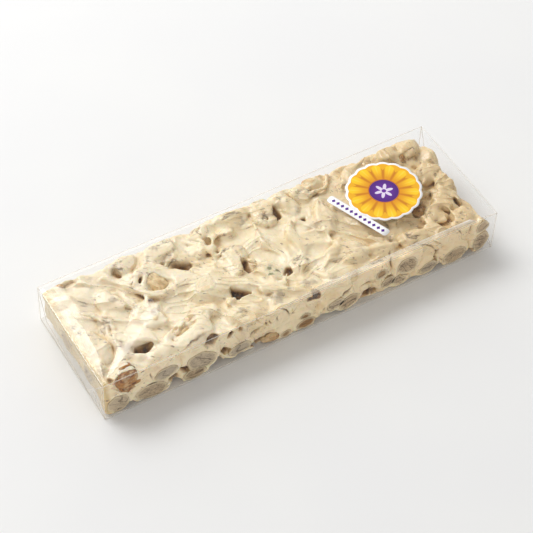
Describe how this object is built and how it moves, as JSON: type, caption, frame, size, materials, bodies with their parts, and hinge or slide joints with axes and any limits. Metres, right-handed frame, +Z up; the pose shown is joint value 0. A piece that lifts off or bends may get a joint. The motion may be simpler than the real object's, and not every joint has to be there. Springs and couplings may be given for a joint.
{
  "type": "packed nougat bar",
  "caption": "Block of soft white nougat with whole nuts, sealed flat in a clear folded film pack with a small die-cut label on its top.",
  "frame": {"origin": "middle of the underside that the pack lies on", "axes": "+X along the bar towards the label's end, +Z up through the top of the pack, -Y the long side with the film's seam"},
  "size_m": [0.207, 0.065, 0.025],
  "materials": {
    "clear_film": "glossy",
    "label_print": "satin",
    "nougat": "satin",
    "nuts": "satin"
  },
  "bodies": {
    "root": {"pack": "clear_film", "label": "label_print"}
  },
  "joints": []
}
